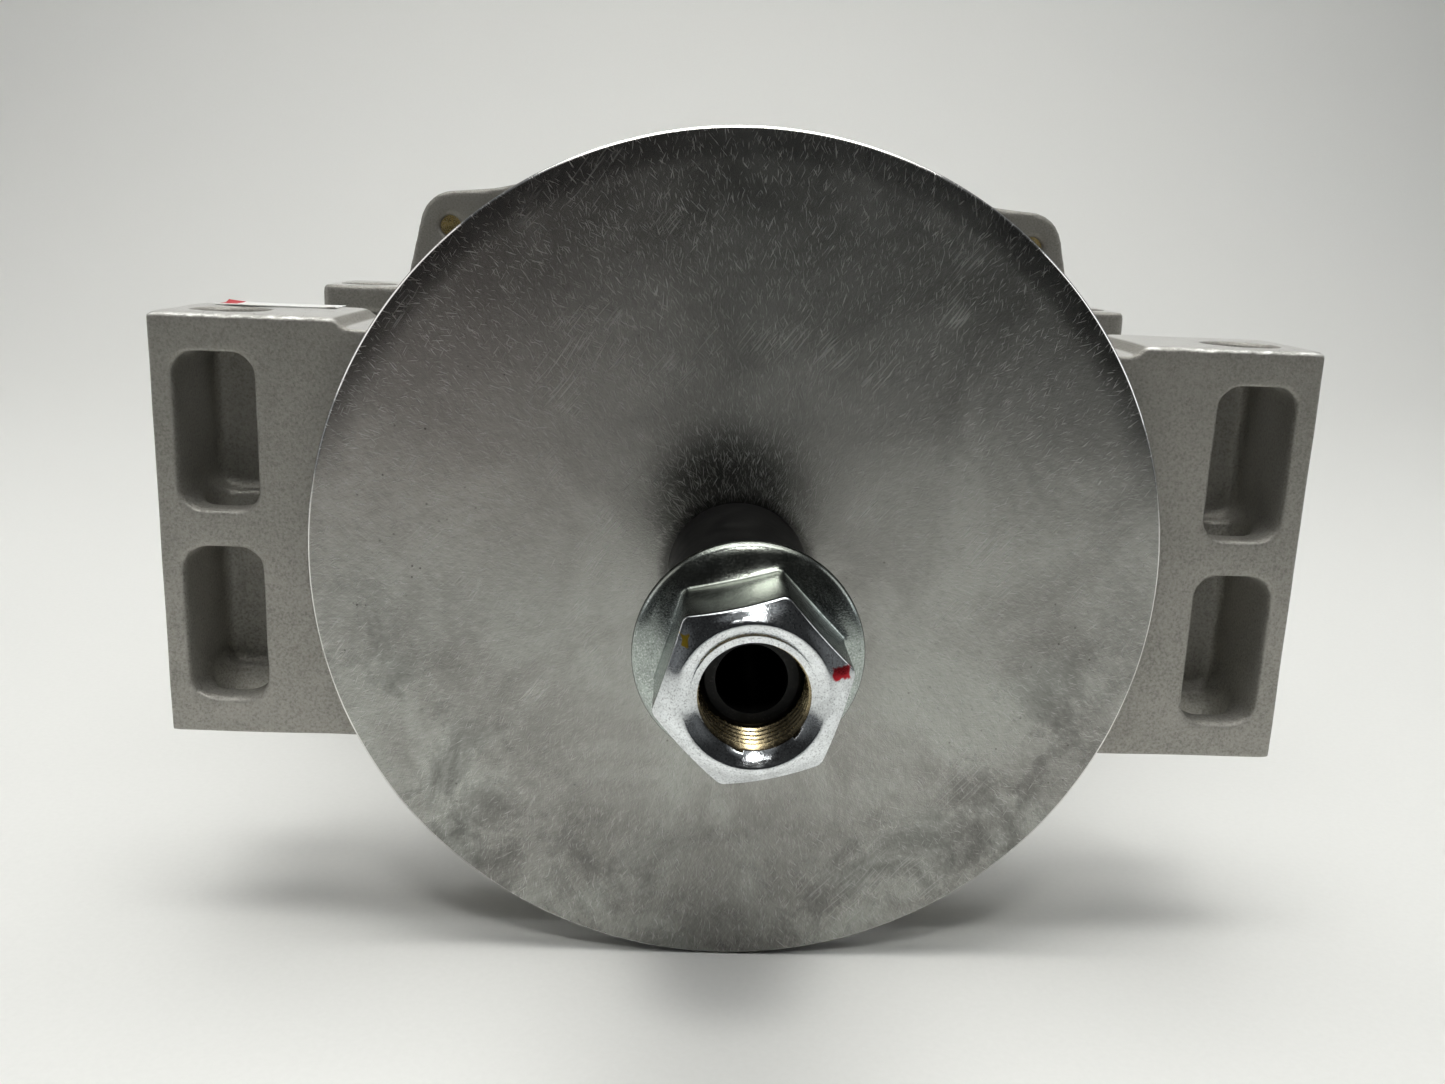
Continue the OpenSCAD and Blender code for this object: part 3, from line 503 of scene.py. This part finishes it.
def nut_profile(turn):
    """(radius, y, material) down the nut's outside, in at the mouth and back through the bore."""
    flat = hex_reach(turn)
    back, front = NUT_HIGH.y, NUT_LOW.y
    rim = NUT_HIGH.x
    slope, lean = math.tan(math.radians(CONE_SLOPE)), math.tan(math.radians(CHAMFER_LEAN))
    foot = back - 1.9 * MM - (rim - flat) * slope
    shoulder = front + (flat - FACE_R) * lean
    out = [(8.4 * MM, back, 0), (rim - 0.5 * MM, back, 0), (rim - 0.12 * MM, back - 0.12 * MM, 0),
           (rim, back - 0.5 * MM, 0), (rim, back - 1.2 * MM, 0),
           (rim - 0.2 * MM, back - 1.65 * MM, 0), (rim - 0.7 * MM, back - 2.15 * MM, 0)]
    for share in (0.3, 0.6, 0.85):
        reach = rim - 0.7 * MM + (flat + 0.5 * MM - rim + 0.7 * MM) * share
        out.append((reach, back - 1.9 * MM - (rim - reach) * slope, 0))
    out += [(flat + 0.38 * MM, foot - 0.02 * MM, 0), (flat + 0.12 * MM, foot - 0.2 * MM, 0),
            (flat, foot - 0.55 * MM, 0)]
    for share in (0.2, 0.4, 0.6, 0.8, 0.93):
        out.append((flat, foot - 0.55 * MM + (shoulder + 0.7 * MM - foot) * share, 0))
    for r, y, kind in ((0, 0.32, 1), (0.03, 0.2, 1), (0.12, 0.06, 1), (0.28, -0.06, 1),
                       (0.5, -0.2, 1)):
        out.append((flat - r * MM, shoulder + y * MM, kind))
    start = flat - 0.5 * MM
    for share in (0.33, 0.66, 0.92):
        reach = start + (10.5 * MM - start) * share
        out.append((reach, front + (reach - FACE_R) * lean, 1))
    out += [(10.45 * MM, front + 0.06 * MM, 1), (10.3 * MM, front, 1), (9.85 * MM, front, 1),
            (9.7 * MM, front + 0.1 * MM, 1), (9.1 * MM, front + 0.5 * MM, 1),
            (8.5 * MM, front + 0.95 * MM, 1), (7.95 * MM, front + 1.5 * MM, 1)]
    first = front + 1.6 * MM
    for i in range(THREAD_STEPS):
        y = first + THREAD_STEP * i
        wave = abs(((y / PITCH + turn / 360) % 1) * 2 - 1)
        reach = 7.25 * MM + 0.75 * MM * min(1.0, max(0.0, 1.25 * wave - 0.125))
        out.append((reach, y, 2))
    out.append((7.9 * MM, first + THREAD_STEP * THREAD_STEPS + 0.4 * MM, 2))
    return out


def flange_nut(rough, bright, thread):
    columns = [nut_profile(i) for i in range(0, 360)]
    rings, bands = [], []
    for k in range(len(columns[0])):
        ring = []
        for i, column in enumerate(columns):
            reach, y, _ = column[k]
            a = math.radians(i)
            ring.append((reach * math.cos(a), y, reach * math.sin(a)))
        rings.append(ring)
        bands.append(columns[0][k][2])
    piece = rings_to_mesh("nut_with_thread", rings, [rough, bright, thread], bands)
    sharp_by_angle(piece, 50)
    return put_on(piece, "rotor", "zinc_plate", "flange_nut")


# ---- The disc and the shaft's nose ---------------------------------------------------------------

def lathe(name, profile, materials, turns=360):
    """A ring about the Y axis from (radius, y) points."""
    rings = []
    for reach, y in profile:
        rings.append([(reach * math.cos(2 * math.pi * i / turns), y,
                       reach * math.sin(2 * math.pi * i / turns)) for i in range(turns)])
    return rings_to_mesh(name, rings, materials)


def steps_between(a, b, count):
    return [a + (b - a) * i / count for i in range(count)]


def output_disc(material):
    """Ground disc with small chamfers. The extra rings keep the face flat under its shading."""
    front, back = DISC_LOW.y, DISC_HIGH.y
    bore, edge = DISC_BORE, 0.5 * MM
    profile = [(r, front) for r in steps_between(bore, DISC_R - edge - 0.1 * MM, 12)]
    profile += [(DISC_R - edge - 0.1 * MM, front), (DISC_R - edge, front + 0.03 * MM),
                (DISC_R - 0.06 * MM, front + edge - 0.05 * MM), (DISC_R, front + edge + 0.08 * MM),
                (DISC_R, front + 1.5 * MM), (DISC_R, back - 1.5 * MM), (DISC_R, back - edge),
                (DISC_R - 0.03 * MM, back - edge + 0.03 * MM), (DISC_R - edge, back)]
    profile += [(r, back) for r in steps_between(DISC_R - edge, bore, 8)[1:]] + [(bore, back)]
    piece = lathe("ground_disc", profile, [material], 480)
    sharp_by_angle(piece, 40)
    return put_on(piece, "rotor", "ground_steel", "output_disc")


def shaft_nose():
    """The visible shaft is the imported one, its turned edges broken by modifiers alone."""
    node = frame["nodes"]["output_shaft"]
    weld = node.modifiers.new("weld", "WELD")
    weld.merge_threshold = 0.002 * MM
    bevel = node.modifiers.new("edges", "BEVEL")
    bevel.width, bevel.segments = 0.35 * MM, 2
    bevel.limit_method, bevel.angle_limit = "ANGLE", math.radians(35)
    bevel.harden_normals = False
    bevel.use_clamp_overlap = True
    normal = node.modifiers.new("normals", "WEIGHTED_NORMAL")
    normal.keep_sharp = True


# ---- Castings ------------------------------------------------------------------------------------

SWELL, SWELL_PITCH = 0.10 * MM, 90      # how far a cast skin wanders, and how often in a metre
CHIP = 1.6 * MM                         # how far from a milled edge the nibbles reach
BORE_ROOM, BORE_SKIN = 0.35 * MM, 1.6 * MM


def remeshed(name, node, voxel, passes):
    """A copy of a packed casting with its edges rounded the way a mould leaves them."""
    copy = bpy.data.objects.new(name, frame["nodes"][node].data.copy())
    bpy.context.scene.collection.objects.link(copy)
    weld = copy.modifiers.new("weld", "WELD")
    weld.merge_threshold = 0.002 * MM
    remesh = copy.modifiers.new("skin", "REMESH")
    remesh.mode, remesh.voxel_size, remesh.use_smooth_shade = "VOXEL", voxel, True
    smooth = copy.modifiers.new("soften", "SMOOTH")
    smooth.factor, smooth.iterations = 0.5, passes
    bpy.context.view_layer.update()
    graph = bpy.context.evaluated_depsgraph_get()
    mesh = bpy.data.meshes.new_from_object(copy.evaluated_get(graph))
    copy.modifiers.clear()
    copy.data = mesh
    return copy


def settle(piece, low, high):
    """Keeps a softened casting inside its packed box, and lets its skin wander a little."""
    vertices = piece.data.vertices
    places, normals = np.empty(3 * len(vertices)), np.empty(3 * len(vertices))
    vertices.foreach_get("co", places)
    piece.data.vertex_normals.foreach_get("vector", normals)
    places, normals = places.reshape(-1, 3), normals.reshape(-1, 3)
    swell = np.array([noise.noise(Vector(p) * SWELL_PITCH) for p in places]) * SWELL
    places = np.clip(places + normals * swell[:, None], low, high)
    vertices.foreach_set("co", places.ravel())
    piece.data.update()


def open_bores(piece, pistons):
    """Keeps the softened walls of the cylinders clear of the pistons that run in them."""
    vertices = piece.data.vertices
    places = np.empty(3 * len(vertices))
    vertices.foreach_get("co", places)
    places = places.reshape(-1, 3)
    for node in pistons:
        low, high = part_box(node)
        axis_y, axis_z = (low.y + high.y) / 2, (low.z + high.z) / 2
        wall = (high.z - low.z) / 2 + BORE_ROOM
        away_y, away_z = places[:, 1] - axis_y, places[:, 2] - axis_z
        reach = np.hypot(away_y, away_z)
        near = (reach < wall) & (reach > wall - BORE_SKIN)
        grow = np.where(near, wall / np.maximum(reach, MM), 1.0)
        places[:, 1] = axis_y + away_y * grow
        places[:, 2] = axis_z + away_z * grow
    vertices.foreach_set("co", places.ravel())
    piece.data.update()


def chip_pads(piece, front_y):
    """Nibbles the front top edge of the milled pads, as the cutter and handling left them."""
    for vertex in piece.data.vertices:
        at = vertex.co
        edge = math.hypot(at.y - front_y, at.z - PAD_Z)
        if edge < CHIP and abs(at.x) > 60 * MM:
            bite = noise.noise(Vector((at.x * 520, 0.0, 3.0))) + 0.6 * noise.noise(at * 1100)
            at.z -= max(0.0, bite) * 0.7 * MM * (1 - edge / CHIP)
            at.y += max(0.0, bite) * 0.4 * MM * (1 - edge / CHIP)
    piece.data.update()


def casting(name, node, voxel, passes, material, pads=False, pistons=()):
    low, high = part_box(node)
    piece = remeshed(name, node, voxel, passes)
    piece.data.materials.clear()
    piece.data.materials.append(material)
    settle(piece, low, high)
    open_bores(piece, pistons)
    if pads:
        chip_pads(piece, low.y)
    return put_on(piece, "casing", "cast_aluminium", node)


# ---- Label ---------------------------------------------------------------------------------------

def label(material):
    """Thin film over the left pad, curling up a touch at its outer corners."""
    low, high = Vector((-101.6, 30.3, 0)) * MM, Vector((-78.5, 38.3, 0)) * MM
    columns, rows, thick = 34, 32, 0.16 * MM
    top, bottom = [], []
    for j in range(rows + 1):
        for i in range(columns + 1):
            u, v = i / columns, j / rows
            x, y = low.x + (high.x - low.x) * u, low.y + (high.y - low.y) * v
            curl = 0.45 * MM * max(0.0, 1 - math.hypot(u, 1 - v) / 0.28) ** 2
            curl += 0.25 * MM * max(0.0, 1 - math.hypot(1 - u, v) / 0.2) ** 2
            ripple = 0.05 * MM * (1 + noise.noise(Vector((x * 160, y * 160, 2.0))))
            z = PAD_Z + 0.03 * MM + curl + ripple
            bottom.append((x, y, z))
            top.append((x, y, z + thick))
    verts, faces = top + bottom, []
    wide = columns + 1
    under = len(top)
    for j in range(rows):
        for i in range(columns):
            a = j * wide + i
            faces.append((a, a + 1, a + wide + 1, a + wide))
            faces.append((under + a, under + a + wide, under + a + wide + 1, under + a + 1))
    for i in range(columns):
        for a in (i, rows * wide + i):
            faces.append((a, a + 1, under + a + 1, under + a))
    for j in range(rows):
        for a in (j * wide, j * wide + columns):
            faces.append((a, a + wide, under + a + wide, under + a))
    piece = make("blank_label", verts, faces, [material])
    sharp_by_angle(piece, 50)
    return put_on(piece, "casing", None)


# ---- Stage, light and camera ---------------------------------------------------------------------

def stage(material):
    """Pale sheet: flat under the object, curving up a good way behind it."""
    half, near, turn, bend = 3.0, -3.0, 0.75, 0.6
    points = [(near, FLOOR_Z)] + [(near + (turn - near) * i / 14, FLOOR_Z) for i in range(1, 15)]
    points += [(turn + bend * math.sin(a), FLOOR_Z + bend * (1 - math.cos(a)))
               for a in (math.pi / 2 * i / 16 for i in range(1, 17))]
    points.append((turn + bend, FLOOR_Z + 2.6))
    verts = [(x, y, z) for y, z in points for x in (-half, half)]
    faces = [(2 * i, 2 * i + 1, 2 * i + 3, 2 * i + 2) for i in range(len(points) - 1)]
    sheet = make("backdrop", verts, faces, [material])
    if sheet.data.polygons[0].normal.z < 0:
        sheet.data.flip_normals()


def area(name, place, target, size, power, tone=(1, 1, 1)):
    light = bpy.data.lights.new(name, "AREA")
    light.shape, light.size, light.size_y = "RECTANGLE", size[0], size[1]
    light.energy, light.color = power, tone
    lamp = bpy.data.objects.new(name, light)
    lamp.location = place
    lamp.rotation_mode = "QUATERNION"
    lamp.rotation_quaternion = (Vector(target) - Vector(place)).to_track_quat("-Z", "Y")
    bpy.context.scene.collection.objects.link(lamp)
    return lamp


ROOM_GLOW = (("Z", 0.75, 1.0, 0.0, 0.5), ("Y", 0.0, 0.7, 0.0, 0.40),
             ("X", 0.72, 1.0, 0.0, 0.14), ("X", -0.72, -1.0, 0.0, 0.18))
ROOM_LEAST, ROOM_SEEN = 0.03, 0.62


def room():
    """The world: dim and darkest towards -Y in reflections, and one pale tone where it is seen
    past the sheet. ROOM_GLOW has an axis, a range along it, and the strength at either end."""
    world = bpy.data.worlds.new("room")
    world.use_nodes = True
    tree = world.node_tree
    back = tree.nodes["Background"]
    spot = tree.nodes.new("ShaderNodeTexCoord")
    parts = tree.nodes.new("ShaderNodeSeparateXYZ")
    tree.links.new(spot.outputs["Generated"], parts.inputs[0])
    made = []
    for source, low, high, a, b in ROOM_GLOW:
        ramp = tree.nodes.new("ShaderNodeMapRange")
        tree.links.new(parts.outputs[source], ramp.inputs[0])
        for socket, number in zip(list(ramp.inputs)[1:5], (low, high, a, b)):
            socket.default_value = number
        made.append(ramp.outputs[0])
    total = made[0]
    for other in made[1:]:
        add = tree.nodes.new("ShaderNodeMath")
        tree.links.new(total, add.inputs[0])
        tree.links.new(other, add.inputs[1])
        total = add.outputs[0]
    floor = tree.nodes.new("ShaderNodeMath")
    floor.inputs[1].default_value = ROOM_LEAST
    tree.links.new(total, floor.inputs[0])
    rays = tree.nodes.new("ShaderNodeLightPath")
    seen = tree.nodes.new("ShaderNodeMix")
    tree.links.new(rays.outputs["Is Camera Ray"], seen.inputs["Factor"])
    tree.links.new(floor.outputs[0], seen.inputs["A"])
    seen.inputs["B"].default_value = ROOM_SEEN
    tree.links.new(seen.outputs["Result"], back.inputs["Strength"])
    back.inputs["Color"].default_value = (0.90, 0.93, 0.95, 1)
    bpy.context.scene.world = world


def studio():
    """Broad soft light from above, a pool on the near floor, two small lamps and two fills."""
    warm = (1, 1, 0.97)
    behind = area("overhead", (0.0, 0.50, 1.25), (0, 0.50, 0), (1.6, 0.9), 3.2, warm)
    behind.data.spread = math.radians(120)
    front = area("front_ceiling", (0.0, -0.20, 1.40), (0, -0.16, 0), (1.8, 0.50), 2.9, warm)
    front.data.spread = math.radians(62)
    wall = area("backdrop_light", (0.0, 0.75, 1.5), (-0.05, 1.15, 0.0), (1.6, 0.3), 4.8, warm)
    wall.data.spread = math.radians(110)
    near = bpy.data.lights.new("near_floor", "SPOT")
    near.energy, near.spot_size, near.spot_blend = 12.5, math.radians(18), 1.0
    near.shadow_soft_size, near.color = 0.09, warm
    lamp = bpy.data.objects.new("near_floor", near)
    lamp.location = (0.0, -0.50, 0.62)
    lamp.rotation_mode = "QUATERNION"
    aim = Vector((0.0, -0.075, FLOOR_Z)) - lamp.location
    lamp.rotation_quaternion = aim.to_track_quat("-Z", "Y")
    bpy.context.scene.collection.objects.link(lamp)
    area("lamp_left", (-0.33, -0.95, 1.12), (0, 0, 0), (0.12, 0.12), 0.15)
    area("lamp_right", (0.20, -1.0, 1.15), (0, 0, 0), (0.07, 0.14), 0.10)
    area("left_fill", (-1.4, 0.1, 0.7), (0, 0.05, 0), (0.7, 0.9), 1.8, (1, 0.98, 0.96))
    area("right_fill", (1.4, 0.1, 0.6), (0, 0.05, 0), (0.6, 0.8), 1.8, (0.97, 0.99, 1))
    room()
    bpy.context.scene.view_settings.view_transform = "Standard"


MODEL_DISC_R = 77                       # the disc's radius when EYE was measured, in mm
EYE = DISC_R / MODEL_DISC_R * Vector((-10.23, -227.83, 60.22))
EYE_TURN = (76.4386, -2.1025, -1.3518)  # degrees about X, Y and Z


def camera():
    """One close camera, a little above and to the left of the shaft."""
    data = bpy.data.cameras.new("camera")
    data.lens, data.sensor_width = 32.54, 36
    data.clip_start, data.clip_end = 0.01, 50
    eye = bpy.data.objects.new("camera", data)
    eye.location = EYE
    eye.rotation_euler = Euler([math.radians(a) for a in EYE_TURN], "XYZ")
    bpy.context.scene.collection.objects.link(eye)
    bpy.context.scene.camera = eye


# ---- Put together --------------------------------------------------------------------------------

PAD_Z = max(v.co.z for v in frame["nodes"]["front_housing"].data.vertices
            if abs(v.co.x) > 0.95 * FRONT_HIGH.x)
DISC_BORE = min(math.hypot(v.co.x, v.co.z) for v in frame["nodes"]["output_disc"].data.vertices)
LABEL_RED_X, LABEL_RED_Y = -98.2 * MM, 32.6 * MM

FINISHES = {
    "cast_aluminium": cast_aluminium(),
    "machined_aluminium": turned("machined_aluminium", (0.74, 0.74, 0.74), (0.52, 0.52, 0.52), 0.3),
    "ground_steel": ground_steel(),
    "steel": turned("steel", (0.52, 0.51, 0.50), (0.30, 0.29, 0.28), 0.26),
    "bearing_steel": turned("bearing_steel", (0.74, 0.74, 0.73), (0.56, 0.56, 0.56), 0.08),
    "bronze": turned("bronze", (0.62, 0.42, 0.20), (0.36, 0.22, 0.10), 0.3),
    "black_steel": black_steel(),
    "zinc_plate": zinc_rough(),
    "yellow_zinc": zinc("yellow_zinc", 0.2, 0.42, 0.03, (0.62, 0.47, 0.19))[2],
    "rubber": moulded("rubber", (0.018, 0.018, 0.018), 0.5),
    "gasket": moulded("gasket", (0.10, 0.15, 0.12), 0.75, 0.6, 0.06),
    "wear_plastic": moulded("wear_plastic", (0.10, 0.06, 0.03), 0.4),
}
for part in frame["record"]["subparts"]:
    node = frame["nodes"][part["node"]]
    node.data.materials.clear()
    node.data.materials.append(FINISHES[part["material_slot"]])

flange_nut(FINISHES["zinc_plate"], zinc_bright(), zinc_thread())
output_disc(FINISHES["ground_steel"])
shaft_nose()
casting("front_casting", "front_housing", 0.9 * MM, 5, FINISHES["cast_aluminium"], pads=True)
casting("rack_casting", "rack_housing", 1.1 * MM, 3, FINISHES["cast_aluminium"],
        pistons=("upper_pistons", "lower_pistons"))
casting("cover_casting", "rear_cover", 1.0 * MM, 3, FINISHES["cast_aluminium"])
label(blank_label())

stage(floor_paper())
studio()
camera()
